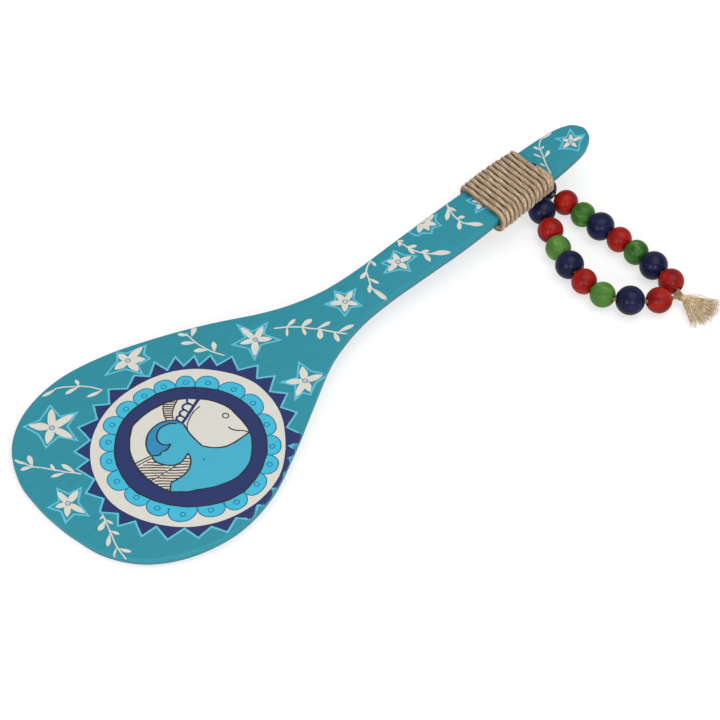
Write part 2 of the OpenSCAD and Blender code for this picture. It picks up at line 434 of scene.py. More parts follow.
# Route of each strand, from the gap after the first bead, through the beads and into the knot
for strand, real_length in (("a", 0.086), ("b", 0.092)):
    points = [gap_mid(strand)]
    for i in range(1, BEADS):
        points += bore_ends(strand, i)
    points.append(knot + (KNOT_R - KNOT_GRIP) * unit(points[-1] - knot))
    path = resample(spline(points, 10), 0.5)
    verts, faces, uvs = rope(path, CORD_D, CORD_LAY, sides=CORD_SIDES, seed=3.0)
    obj = make_object(f"strand_{strand}_cord", verts, faces, uvs=uvs)
    finish_piece(obj, cord_mat, "bead_loop", [f"strand_{strand}"])

# The board's own axes, found from the mount on the back of the blade
THICK, BLADE_THICK, RIM_R, HOLE_R = 4.8, 4.0, 1.2, 2.5
BACK_MOUNT_X = 70
mount = next(m for m in record["mounts"] if m["name"] == "blade_back")
board_z = -unit(mount["axis"])
board_x = np.cross((0, 1, 0), board_z)
board_origin = np.array(mount["pos_m"]) / MM - BACK_MOUNT_X * board_x - (THICK - BLADE_THICK) * board_z


def on_board(points):
    """Points given in the board's own axes: x from the tip, y across, z up from the handle's underside."""
    p = np.asarray(points, float)
    return board_origin + p[..., :1] * board_x + p[..., 1:2] * np.array([0, 1, 0]) + p[..., 2:3] * board_z


# The same cord above the first beads: two turns through the hole and over the near edge
HOLE_X = 299.0
HITCH = [
    [0.9, -0.6, -4.2], [0.8, -1.1, 3], [0.8, -1.6, 4.8], [0.8, -3, 5.85], [0.8, -5.4, 6], [0.7, -8.4, 6],
    [0.6, -11, 5.8], [0.4, -12.75, 3.9], [0.3, -12.85, 1.4], [-0.1, -12.1, -0.8], [-0.5, -10.9, -2],
    [-0.6, -9.8, -3.2], [-0.7, -9.1, -4.3],
]
SECOND_TURN = [
    [-0.9, -0.4, -1], [-0.9, -0.7, 2.6], [-0.8, -1.6, 4.9], [-0.7, -3.4, 7], [-0.7, -5.6, 7.9],
    [-0.9, -8.5, 8], [-1.1, -11.3, 7.3], [-1.3, -13.6, 5.2], [-1.4, -14.4, 2.6], [-1.4, -13.7, 0],
    [-1.2, -11.8, -1.8], [-0.4, -8, -2.3], [0.2, -4, -1.8], [0.2, -1.6, -1.8],
]
NECK_A = [[1.3, 0.2, 13.3], [1.4, 0.4, 12.5], [2.5, 1.9, 11.3], [4.4, 3.5, 9.9], [6, 4.9, 8.2]]
NECK_B = [[-0.5, -8.9, 13.2], [-0.5, -8.7, 12.5], [-0.5, -7.6, 11.3], [-0.6, -6.5, 9.8], [-0.9, -5.9, 7.8]]

leg_a = [hole_foot + p for p in NECK_A] + bore_ends("a", 0) + [gap_mid("a")]
leg_b = [hole_foot + p for p in NECK_B] + bore_ends("b", 0) + [gap_mid("b")]
turn = [on_board([HOLE_X + x, y, z]) for x, y, z in HITCH]
hitch_line = resample(spline(leg_a[::-1] + turn + leg_b, 10), 0.4)
second_line = resample(spline([on_board([HOLE_X + x, y, z]) for x, y, z in SECOND_TURN], 8), 0.4)
first_rope = rope(hitch_line, CORD_D, CORD_LAY, sides=CORD_SIDES, seed=1.0)
second_rope = rope(second_line, CORD_D, CORD_LAY, sides=CORD_SIDES, phase=1.0, seed=2.0)
verts, faces, uvs = join_parts([first_rope, second_rope])
hitch = make_object("cord_hitch_turns", verts, faces, uvs=uvs)
finish_piece(hitch, hitch_mat, None, ["cord_hitch", "neck_a", "neck_b"])
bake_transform(hitch)


# ---------------------------------------------------------------- the board
RAMP_START, RAMP_END = 149.2, 169.25
# The hand-cut outline: distance along the board, half width, and how far its middle strays sideways
OUTLINE = [
    (2, 0, -0.6), (2.8, 13.2, -0.8), (6, 28.2, -1), (15.5, 43.5, -0.5), (32, 54.2, -0.4), (54, 58.5, -0.8),
    (77, 55, -0.8), (100, 45.8, 0.3), (123, 34.3, 1.2), (145, 22.3, 0.9), (160, 16.4, 0.5),
    (176, 12.7, 0.3), (195, 11.6, 0.1), (217, 12, -0.1), (240, 12.4, -0.4), (264, 12.1, -0.3),
    (290, 11.7, -0.2), (306, 11.3, -0.1), (318, 10.5, 0), (326, 9.3, 0.1), (331, 7.4, 0.3),
    (334.3, 5.1, 0.4), (336.5, 0, 0.4),
]
mirrored = [(x, -y, stray) for x, y, stray in OUTLINE[-2:0:-1]]
outline = spline(OUTLINE + mirrored, 12, closed=True)[::-1]
outline = outline[:, :2] + outline[:, 2:] * (0, 1)
forward = np.roll(outline, -1, 0) - outline
edge_tangent = unit(np.roll(outline, -1, 0) - np.roll(outline, 1, 0))
edge_out = np.stack([edge_tangent[:, 1], -edge_tangent[:, 0]], 1)


def inset(distance):
    """The outline pulled in by a distance."""
    return outline - edge_out * distance


def edge_distance(points):
    """Distance inside the outline, and the direction out towards it, for points in the board's plane."""
    p = np.asarray(points, float)
    distance, out = np.empty(len(p)), np.empty((len(p), 2))
    length2 = (forward**2).sum(1)
    for start in range(0, len(p), 3000):
        q = p[start : start + 3000]
        rel = q[:, None] - outline[None]
        u = np.clip((rel * forward[None]).sum(2) / length2, 0, 1)
        gap = rel - u[..., None] * forward[None]
        d2 = (gap**2).sum(2)
        k = d2.argmin(1)
        rows = np.arange(len(q))
        uk = u[rows, k][:, None]
        n = unit(edge_out[k] * (1 - uk) + edge_out[(k + 1) % len(outline)] * uk)
        distance[start : start + 3000] = -(gap[rows, k] * n).sum(1)
        out[start : start + 3000] = n
    return distance, out


def on_surface(points, height):
    """Board points (x, y, z) over the painted face, following it round the rim."""
    p = np.asarray(points, float)
    d, out = edge_distance(p)
    over = np.clip(RIM_R - d, 0, RIM_R * 1.3)
    angle = over / RIM_R
    base = p - out * (RIM_R - d).clip(0)[:, None]
    height = np.broadcast_to(height, len(p))
    lift = RIM_R + height
    flat = d >= RIM_R
    x_y = np.where(flat[:, None], p, base + out * (lift * np.sin(angle))[:, None])
    z = np.where(flat, THICK + height, THICK - RIM_R + lift * np.cos(angle))
    return np.column_stack([x_y, z])


def back_height(x):
    """Height of the board's back: the blade is thinner than the handle, with a ramp between them."""
    return np.interp(x, [RAMP_START, RAMP_END], [THICK - BLADE_THICK, 0])


def signed_area(verts, faces):
    """Area of each face, positive where its points run anticlockwise."""
    out = []
    for f in faces:
        p = verts[list(f)]
        q = np.roll(p, -1, 0)
        out.append(0.5 * (p[:, 0] * q[:, 1] - p[:, 1] * q[:, 0]).sum())
    return out


def triangles(loops, edges=()):
    """Triangles over closed loops: their points, the faces, and which loops each face lies in."""
    verts, faces = [], []
    for loop in loops:
        loop = np.asarray(loop, float)
        if signed_area(loop, [range(len(loop))])[0] < 0:
            loop = loop[::-1]
        faces.append(list(range(len(verts), len(verts) + len(loop))))
        verts += [Vector(p) for p in loop]
    extra = []
    for a, b in edges:
        extra.append((len(verts), len(verts) + 1))
        verts += [Vector(a), Vector(b)]
    v, _, f, _, _, owners = geometry.delaunay_2d_cdt(verts, extra, faces, 0, 1e-5)
    return np.array([tuple(p) for p in v]), f, owners


def across_board(edge, x):
    """A line from side to side of the board, just inside an edge."""
    sides = [edge[(edge[:, 1] * sign > 0) & (edge[:, 0] > 60)] for sign in (-1, 1)]
    y = [np.interp(x, side[np.argsort(side[:, 0]), 0], side[np.argsort(side[:, 0]), 1]) for side in sides]
    return (x, y[0] + 0.05), (x, y[1] - 0.05)


def board_mesh():
    """The board with its rounded rim and its hole. UVs hold the height up the edge and the distance along."""
    arc = [(RIM_R * (1 - math.sin(a)), RIM_R * (1 - math.cos(a))) for a in np.linspace(0, math.pi / 2, 7)]
    rings = []
    for pull, drop in arc:
        edge = inset(pull)
        rings.append(np.column_stack([edge, np.full(len(edge), THICK - drop)]))
    for pull, rise in reversed(arc):
        edge = inset(pull)
        rings.append(np.column_stack([edge, back_height(edge[:, 0]) + rise]))
    m = len(outline)
    verts = [np.concatenate(rings)]
    faces = []
    for r in range(len(rings) - 1):
        for i in range(m):
            j = (i + 1) % m
            faces.append((r * m + i, (r + 1) * m + i, (r + 1) * m + j, r * m + j))
    around = 40
    hole = [(math.cos(2 * math.pi * k / around), math.sin(2 * math.pi * k / around)) for k in range(around)]
    lips = [(0.35, 0), (0.1, 0.1), (0, 0.35)]
    bores = []
    for top in (True, False):
        for wide, deep in lips if top else lips[::-1]:
            r = HOLE_R + wide
            ring = [(HOLE_X + r * c, r * s) for c, s in hole]
            z = THICK - deep if top else deep
            bores.append(np.column_stack([ring, np.full(around, z)]))
    base = len(verts[0])
    verts.append(np.concatenate(bores))
    for r in range(len(bores) - 1):
        for i in range(around):
            j = (i + 1) % around
            a, b = base + r * around, base + (r + 1) * around
            faces.append((a + i, a + j, b + j, b + i))
    count = base + len(verts[1])
    for top in (True, False):
        edge = inset(RIM_R)
        ring = bores[0 if top else -1][:, :2]
        cuts = [] if top else [across_board(edge, x) for x in (RAMP_START, RAMP_END)]
        flat, tris, owners = triangles([edge, ring], cuts)
        z = np.full(len(flat), THICK) if top else back_height(flat[:, 0])
        verts.append(np.column_stack([flat, z]))
        for tri, own in zip(tris, owners):
            if own == [0] or (0 in own and 1 not in own):
                tri = [count + i for i in tri]
                faces.append(tuple(tri if top else tri[::-1]))
        count += len(flat)
    verts = np.concatenate(verts)
    back_z = back_height(verts[:, 0])
    on_edge = np.arange(len(verts)) < base
    height = np.where(on_edge, (verts[:, 2] - back_z) / (THICK - back_z), 1)
    return verts, faces, np.column_stack([height, verts[:, 0] / 100])


verts, faces, uvs = board_mesh()
board_obj = make_object("paddle_board", on_board(verts), faces, smooth_angle=30, uvs=uvs)
weld = board_obj.modifiers.new("weld", "WELD")
weld.merge_threshold = 0.02 * MM
teal_mat = paint_material("teal_paint", srgb(42, 145, 162), low_edge_color=srgb(84, 118, 128))
finish_piece(board_obj, teal_mat, "board", ["paddle"])

# ---------------------------------------------------------------- the painting, in the board's plane
PATCH_FOOT = -0.06  # height of a patch's hidden underside, in millimetres from the board's face
RIM_LAP = 0.68  # how far paint laps over the rim, past the outline
RIM_CUT = -0.35  # faces further out than this are left off


class Paint:
    """One colour of paint: thin closed patches laid on the board, each at its own height."""

    def __init__(self, name, material):
        self.name, self.material = name, material
        self.parts = []

    def add(self, verts, faces, height):
        """height is how far the patch's top lies over the board's face."""
        self.parts.append((np.asarray(verts, float)[:, :2], [tuple(f) for f in faces], height))

    def stroke(
        self, points, width, height, steps=4, closed=False, ends=(0.35, 0.35), wobble=0.1, sharp=False
    ):
        """A brush line of slightly changing width. ends holds how wide its two ends are, as shares."""
        line = np.asarray(points, float)
        if sharp:
            if closed:
                line = np.vstack([line, line[:1]])
            corners = line
            line = resample_sharp(corners, 1.2)
        else:
            line = spline(line, steps, closed)
            if closed:
                line = np.vstack([line, line[:1]])
            line = resample(line, 0.6 if width < 1 else 0.8)
        if closed:
            line = line[:-1]
        seed = rng.uniform(0, 50)
        n = len(line)
        before = np.roll(line, 1, 0) if closed else np.vstack([2 * line[0] - line[1], line[:-1]])
        after = np.roll(line, -1, 0) if closed else np.vstack([line[1:], 2 * line[-1] - line[-2]])
        t1, t2 = unit(line - before), unit(after - line)
        t = unit(t1 + t2)
        side = np.stack([-t[:, 1], t[:, 0]], 1)
        cos_half = np.clip((t * t1).sum(1), 0.4, 1)
        run = np.concatenate([[0], np.cumsum(np.linalg.norm(np.diff(line, axis=0), axis=1))])
        w = np.full(n, width / 2)
        for k in range(n):
            w[k] *= 1 + 0.22 * noise.noise(Vector((run[k] * 0.35, seed, 0)))
            if not closed:
                for s, end in ((run[k], ends[0]), (run[-1] - run[k], ends[1])):
                    if end < 1:
                        w[k] *= end + (1 - end) * min(1.0, (s + 0.05) / (width * 1.6)) ** 0.5
        w = w / cos_half
        shift = np.array([wobble * noise.noise(Vector((run[k] * 0.22, seed, 5))) for k in range(n)])
        middle = line + side * shift[:, None]
        verts = np.concatenate([middle + side * (w * c)[:, None] for c in (-1, 0, 1)])
        faces = []
        for k in range(n if closed else n - 1):
            k2 = (k + 1) % n
            faces.append((k, k2, n + k2, n + k))
            faces.append((n + k, n + k2, 2 * n + k2, 2 * n + k))
        self.add(verts, faces, height)

    def leaf(self, base, tip, half_width, height, bow=0.0, fullness=0.6):
        """A petal or leaf laid in one press of the brush."""
        base, tip = np.asarray(base, float), np.asarray(tip, float)
        along = tip - base
        length = np.linalg.norm(along)
        side = np.array([-along[1], along[0]]) / length
        steps = max(6, int(length / 0.7))
        seed = rng.uniform(0, 50)
        rows = []
        for k in range(steps + 1):
            u = k / steps
            shape = math.sin(math.pi * u**fullness) ** 0.7 if 0 < u < 1 else 0.0
            w = half_width * max(shape, 0.1) * (1 + 0.15 * noise.noise(Vector((u * 3, seed, 0))))
            centre = base + along * u + side * bow * math.sin(math.pi * u)
            rows.append([centre + side * w * c for c in (-1, -0.5, 0, 0.5, 1)])
        m = 5
        verts = np.array(rows).reshape(-1, 2)
        faces = []
        for k in range(steps):
            for c in range(m - 1):
                a = k * m + c
                faces.append((a, a + m, a + m + 1, a + 1))
        self.add(verts, faces, height)

    def area(self, loop, height, holes=(), at_rim=False):
        """A filled shape. At the rim it is cut off just past the outline and bends in rows of points."""
        loops = [np.asarray(loop, float)] + [np.asarray(h, float) for h in holes]
        if at_rim:
            loops += [inset(-RIM_LAP)] + [inset(d) for d in (-0.3, 0.1, 0.5, 0.85, RIM_R)]
        verts, tris, owners = triangles(loops)
        limit = 1 + len(holes)
        keep = []
        for tri, own in zip(tris, owners):
            if 0 in own and not any(h in own for h in range(1, limit)) and (not at_rim or limit in own):
                keep.append(tri)
        self.add(verts, keep, height)

    def build(self):
        """Raise every patch to its height, give it an underside and walls, and lay it on the board."""
        sizes = [len(v) for v, _, _ in self.parts]
        flat = np.concatenate([v for v, _, _ in self.parts])
        heights = np.concatenate([np.full(n, h) for n, (_, _, h) in zip(sizes, self.parts)])
        top = on_surface(flat, heights)
        under = on_surface(flat, PATCH_FOOT)
        d, _ = edge_distance(flat)
        verts, faces, base = [], [], 0
        start = 0
        for n, (_, part_faces, _) in zip(sizes, self.parts):
            area2 = signed_area(flat[start : start + n], part_faces)
            kept = [f if a > 0 else f[::-1] for f, a in zip(part_faces, area2)
                    if abs(a) > 1e-6 and max(d[start + i] for i in f) > RIM_CUT]
            used = sorted({i for f in kept for i in f})
            index = {i: k for k, i in enumerate(used)}
            m = len(used)
            verts.append(top[[start + i for i in used]])
            verts.append(under[[start + i for i in used]])
            edges = {}
            for f in kept:
                ring = [index[i] for i in f]
                faces.append(tuple(base + i for i in ring))
                faces.append(tuple(base + m + i for i in reversed(ring)))
                for a, b in zip(ring, ring[1:] + ring[:1]):
                    edges[(a, b)] = edges.get((a, b), 0) + 1
            for a, b in edges:
                if (b, a) not in edges:
                    faces.append((base + b, base + a, base + m + a, base + m + b))
            base += 2 * m
            start += n
        obj = make_object(self.name, on_board(np.concatenate(verts)), faces, smooth_angle=40)
        return finish_piece(obj, self.material, "board")


def resample_sharp(corners, step):
    """Points along straight runs, with every corner kept."""
    out = []
    for a, b in zip(corners[:-1], corners[1:]):
        count = max(1, int(round(np.linalg.norm(b - a) / step)))
        out += [a + (b - a) * k / count for k in range(count)]
    out.append(corners[-1])
    return np.array(out)


def oval(middle, half_x, half_y, count):
    """Points round a small closed brush line."""
    angles = np.arange(count) * 2 * math.pi / count
    return np.asarray(middle) + np.column_stack([half_x * np.cos(angles), half_y * np.sin(angles)])


def inside(loop, p):
    """Whether a point lies in a closed loop."""
    x, y = p
    odd = False
    for (x1, y1), (x2, y2) in zip(loop, np.roll(loop, -1, 0)):
        if (y1 > y) != (y2 > y) and x < (x2 - x1) * (y - y1) / (y2 - y1) + x1:
            odd = not odd
    return odd


NAVY, CREAM, SKY = srgb(36, 50, 105), srgb(224, 221, 211), srgb(98, 195, 218)
navy = Paint("painted_navy", paint_material("navy_paint", NAVY, 0.12))
cream = Paint("painted_cream", paint_material("cream_paint", CREAM, 0.03))
sky = Paint("painted_sky_blue", paint_material("sky_blue_paint", SKY, 0.06))
aqua = Paint("painted_scallops", paint_material("scallop_paint", srgb(64, 190, 220), 0.07))
rim_blue = Paint("painted_scallop_lines", paint_material("scallop_line_paint", srgb(28, 122, 160), 0.1))
body_blue = Paint("painted_fish_body", paint_material("fish_body_paint", srgb(70, 178, 206), 0.05))
mid_blue = Paint("painted_fish_crest", paint_material("fish_crest_paint", srgb(44, 141, 188), 0.06))
ink = Paint("painted_ink", paint_material("ink_paint", srgb(38, 44, 54), 0.15))
brown = Paint("painted_brown", paint_material("brown_paint", srgb(74, 56, 42), 0.15))

# Height of each layer of paint over the board's face. Patches of one layer differ by a hair, so that
# where they overlap one lies on top
ZIGZAG_H, ZIGZAG_LINE_H, DISC_H, SCALLOP_H, SCALLOP_LINE_H = 0.03, 0.045, 0.06, 0.08, 0.1
BODY_H, CREST_H, RING_H, RING_LINE_H, INK_H, STRIPE_H, COLLAR_H = 0.09, 0.11, 0.12, 0.14, 0.13, 0.135, 0.15
STEM_H, STAR_H, LEAF_H, PETAL_H, FLOWER_EYE_H = 0.032, 0.035, 0.036, 0.045, 0.055

# Zigzag round the medallion: a tip and the notch after it, anticlockwise from the left
ZIGZAG = [
    (18.5, -11.3), (24.3, -7), (21, 0.6), (28.5, 3.7), (27, 13.3), (33.8, 13.5), (32.4, 21.2), (41.5, 21.3),
    (42.5, 30.3), (51.4, 28), (55.4, 35), (61, 30.8), (66.2, 37.4), (72.4, 31.8), (79.6, 35.4), (84, 30.2),
    (91.2, 34.8), (92.1, 27.4), (99.8, 30.6), (98.9, 24), (106.2, 25.1), (103.8, 19.5), (111.5, 20.3),
    (109.6, 14), (117.8, 13), (114.5, 5.3), (122.4, 1.2), (117, -4), (123.4, -8.6), (115.8, -13.5),
    (120.4, -19.8), (113, -23.5), (115.8, -30.5), (107, -33.6), (108.9, -41.2), (110.5, -46),
    (100.6, -41.8), (101.2, -47.5), (95.4, -46.4), (93.5, -52.5), (88.2, -50.6), (85, -56.5), (79.2, -53.4),
    (74.8, -60), (68.4, -55.9), (61.8, -59.6), (57.3, -54.3), (49.6, -57.2), (46.8, -50.3), (38.9, -50.8),
    (38, -43), (29, -42.3), (30.3, -33.9), (22.5, -33.3), (25.8, -25.5), (19, -22.3), (23.3, -17.3),
]
zigzag = resample_sharp(np.array(ZIGZAG + ZIGZAG[:1]), 1.5)[:-1]
navy.area(zigzag, ZIGZAG_H, at_rim=True)
sky.stroke(ZIGZAG, 0.9, ZIGZAG_LINE_H, closed=True, sharp=True, wobble=0.12)

DISC = [
    (25.3, -13), (27, -2.5), (31.5, 8.5), (39.5, 18.7), (50, 25.7), (61, 29.5), (72, 30.4), (83.5, 28.8),
    (94, 24.6), (103, 17.4), (110.2, 7), (113.9, -2.5), (114.4, -10), (112.8, -19.5), (109, -28.5),
    (103, -36.5), (97, -42.8), (89, -49), (80.5, -52.6), (70, -54.3), (59, -53.2), (49, -49.7),
    (39.5, -43.3), (32.5, -34.7), (27.5, -24.5),
]
cream.area(spline(DISC, 6, closed=True), DISC_H, at_rim=True)

# Scallops: where neighbouring lobes meet, and the dot in each lobe
CUSPS = [
    (37.6, 1.1), (43.3, 10.6), (50.4, 17), (59.4, 21.6), (69.4, 23.2), (79.7, 21.8), (88.4, 17.8),
    (95.2, 12.6), (101.4, 4), (105.4, -7.4), (103.6, -19.8), (98.6, -31.4), (91, -39.4), (81.6, -44.6),
    (69, -47.6), (58.6, -46), (48.8, -39.4), (39.4, -31.4), (36, -21.8), (35, -10),
]
DOTS = [
    (39.6, 6.6), (46.4, 14.8), (53.9, 21), (64.2, 23.4), (74.9, 23.4), (84.4, 21.2), (93, 16.2),
    (99.8, 9.2), (105.2, -1.6), (105.9, -13.2), (101.8, -26.2), (95.1, -36.8), (87.4, -43.2), (76, -47.2),
    (63.2, -48.2), (52.6, -43.6), (42.6, -37), (37.2, -26.9), (34.8, -16.3), (34.6, -4),
]
CENTRE = np.array([70.2, -12.3])
for k, dot in enumerate(DOTS):
    a, b, dot = np.array(CUSPS[k]), np.array(CUSPS[(k + 1) % len(CUSPS)]), np.array(dot)
    out = unit((a + b) / 2 - CENTRE)
    along = unit(b - a)
    width = np.linalg.norm(b - a) / 2
    middle = (a + b) / 2
    peak = (dot - middle) @ out + 3.75
    lean = ((dot - middle) @ along) * 0.5
    arch = []
    for t in np.linspace(-math.pi / 2, math.pi / 2, 25):
        sideways = math.copysign(abs(math.sin(t)) ** 0.85, t) * width + lean * math.cos(t)
        arch.append(middle + along * sideways + out * peak * math.cos(t))
    aqua.area(np.vstack([arch, b - out * 4, a - out * 4]), SCALLOP_H + 0.0005 * k)
    line_height = SCALLOP_LINE_H + 0.0005 * k
    rim_blue.stroke([a - out * 1.6] + arch[::2] + [b - out * 1.6], 0.5, line_height, ends=(1, 1), wobble=0.05)
    rim_blue.stroke(oval(dot, 1.15, 1.15, 12), 0.45, line_height, steps=3, closed=True, wobble=0.1)

RING_OUT = [
    (37, -8), (39.5, 0), (44, 8), (52, 15.6), (60, 19.7), (69, 21.1), (80, 20), (88.2, 16.4), (95, 10),
    (100.2, 2.5), (102.8, -5), (103.3, -12), (101.3, -22.5), (96.3, -31.8), (90, -38.3), (82, -43),
    (74, -45.6), (66, -45.9), (58, -43.4), (50, -38.2), (44, -32), (39.5, -24), (37, -16),
]
RING_IN = [
    (45, -10), (46.2, -3), (49.6, 4.4), (55, 10.6), (60.4, 14.2), (67, 15.3), (74.5, 14.8), (80.5, 13.2),
    (85.5, 10.4), (90.4, 5.8), (94.4, 0), (96.5, -7.4), (95.6, -18), (93.6, -24.4), (90, -29.6),
    (85, -34.3), (79.4, -37.6), (73, -38.5), (66, -37.2), (58, -33), (51, -28.3), (47.2, -24),
    (45.3, -17.5),
]
ring_out, ring_in = spline(RING_OUT, 5, closed=True), spline(RING_IN, 5, closed=True)
navy.area(ring_out, RING_H, holes=[ring_in])
for ring in (RING_OUT, RING_IN):
    ink.stroke(ring, 0.75, RING_LINE_H, steps=5, closed=True, wobble=0.25)

# The fish
BELLY_LINE = [
    (46.6, -24.2), (48.4, -22.9), (50.4, -21), (54.2, -21.4), (58, -21.5), (61.8, -20.2), (65, -17.6),
    (66.9, -13.9),
]
TAIL_LINE = [
    (66.9, -13.9), (64, -15), (60.6, -15.5), (57.4, -14.2), (54.7, -10.8), (53.6, -7.2), (54.6, -3.9),
]
CREST_OUT = [
    (54.6, -3.9), (55.2, -0.9), (57.6, 3), (61.2, 5.9), (65.4, 7.2), (69.5, 7), (73, 5.5), (75.6, 2.8),
    (76.4, -0.3),
]
NAPE_LINE = [(76.4, -0.3), (75.4, -3.6), (74.6, -6.6), (74, -10.6), (73.8, -15.4)]
CHIN_LINE = [(73.8, -15.4), (75.4, -18.1), (78, -20.8), (80.6, -22.6), (84.5, -23.6), (90, -24), (94.2, -24)]
UNDER_RING = [(95.4, -27), (91, -33.5), (84, -39), (74, -41.5), (64, -40), (54, -34), (48, -28.5)]
CREST_IN = [
    (76.4, -0.3), (75.5, -0.4), (74.4, 1.8), (72.2, 3.8), (69.2, 4.7), (66.2, 4.4), (63.6, 2.8), (62, 0.4),
    (61.9, -2), (62.9, -3.9), (64.9, -4.9),
]
CREST_FOOT = [(64.9, -4.9), (63.2, -5.8), (61, -6.1), (59.1, -5.3)]
CREST_TOE = [(59.1, -5.3), (57.7, -6), (56, -5.3), (54.6, -3.9)]


def joined(*lines):
    """A closed loop of smooth lines that meet at corners."""
    return np.concatenate([spline(line, 4)[:-1] for line in lines])


body_edge = CHIN_LINE + UNDER_RING + BELLY_LINE[:1]
body_blue.area(joined(BELLY_LINE, TAIL_LINE, CREST_OUT, NAPE_LINE, body_edge), BODY_H)
mid_blue.area(joined(CREST_OUT, CREST_IN, CREST_FOOT, CREST_TOE), CREST_H)
for line in (BELLY_LINE, TAIL_LINE, CREST_OUT, NAPE_LINE, CHIN_LINE, CREST_IN[2:], CREST_FOOT, CREST_TOE):
    ink.stroke(line, 0.7, INK_H, ends=(0.6, 0.6), wobble=0.12)
GILL = [(75, -4.8), (76.6, -2.5), (79, -0.7), (82.5, 0.9), (85.6, 1.7), (88.3, 1.8)]
ink.stroke(GILL, 0.5, INK_H, ends=(0.6, 0.3))
MOUTH = [(89, -15.3), (89.3, -17.6), (90.4, -19.6), (92, -21.3), (93.4, -23.8)]
ink.stroke(MOUTH, 0.55, INK_H, ends=(0.4, 0.8))
ink.stroke(oval((92.5, -10), 1.35, 1.4, 10), 0.5, INK_H, closed=True)
ink.leaf((68.9, -21.4), (69.7, -21.1), 0.4, INK_H)

# Its collar of loops, and the striped fin over it
BAND_UNDER = [(76.2, -0.4), (80, 0.7), (84, 2.2), (88, 3.7), (92, 4.9)]
BAND_OVER = [(92, 4.9), (91, 6.2), (87.6, 5), (84, 3.7), (80, 2.1), (76.3, 0.9)]
navy.area(joined(BAND_UNDER, BAND_OVER, [BAND_OVER[-1], BAND_UNDER[0]]), COLLAR_H)
COLLAR_LOOPS = [
    [(76, 1), (75.7, 3.2), (77, 4.4), (78.6, 3.6), (79, 1.6)],
    [(78.6, 3.6), (79, 5), (80.6, 5.6), (82.1, 4.8), (82.2, 2.8)],
    [(82, 4.9), (82.2, 6.6), (83.8, 7.4), (85.8, 6.4), (86.2, 4.4)],
    [(85.6, 5.8), (86, 7.9), (87.2, 8.8), (88.6, 8), (89.8, 6.2)],
]
for loop in COLLAR_LOOPS:
    navy.stroke(loop, 0.9, COLLAR_H, ends=(0.8, 0.8), wobble=0.08)
FIN_LEFT = [(72.4, 6.2), (73.6, 8.9), (75.5, 11.8), (78.2, 14.6)]
FIN_RIGHT = [(75, 4.6), (76.6, 7), (79.6, 9.4), (84.8, 12)]
for edge in (FIN_LEFT, FIN_RIGHT):
    brown.stroke(edge, 0.55, INK_H, ends=(1, 1))
SLOPE = unit(np.array([1.0, -0.93]))  # the way that the stripes of the fin and tail run
fin = np.vstack([spline(FIN_LEFT, 8), spline(FIN_RIGHT, 8)[::-1]])
for k in range(9):
    start = np.array([66, 14.2 + 1.72 * k])
    run = [start + SLOPE * s for s in np.arange(0, 26, 0.3) if inside(fin, start + SLOPE * s)]
    if len(run) > 3:
        stripe = [run[0] - SLOPE * 0.2, run[len(run) // 2], run[-1] + SLOPE * 0.2]
        brown.stroke(stripe, 0.62, STRIPE_H, ends=(0.9, 0.9), wobble=0.05)

# Its striped tail
TAIL_TOP = [(54.6, -3.9), (50, -2.9), (45.4, -2)]
TAIL_END = [(45.4, -2), (44.2, -10), (44.8, -18), (46.6, -24.2)]
tail = joined(BELLY_LINE, TAIL_LINE, TAIL_TOP, TAIL_END)
brown.stroke([(45.6, -2.1), (50, -2.9), (54.2, -3.7)], 0.6, STRIPE_H, ends=(1, 1))
brown.stroke([(45.6, -3.7), (50, -4.3), (53.9, -5.1)], 0.5, STRIPE_H, ends=(1, 1))
TAIL_MIDDLE = [(45, -13.9), (48.5, -14.8), (52, -14.7), (56, -15.2), (60.6, -15.6)]
brown.stroke(TAIL_MIDDLE, 0.5, RING_LINE_H, ends=(1, 1), wobble=0.3)
for k in range(21):
    start = np.array([44.5, 6.5 - 2.05 * k])
    run = [start + SLOPE * s + np.array([0, 0.25 * math.sin(s * 0.3)]) for s in np.arange(0, 34, 0.5)]
    run = [p for p in run if inside(tail, p) and p[1] < -4.6 - 0.14 * (p[0] - 46)]
    blocks = [[p for p in run if p[1] > -14.7], [p for p in run if p[1] <= -15.1]]
    for block in blocks:
        if len(block) > 4:
            brown.stroke(block[::3] + [block[-1]], 0.6, INK_H, steps=2, ends=(0.8, 0.5), wobble=0.15)

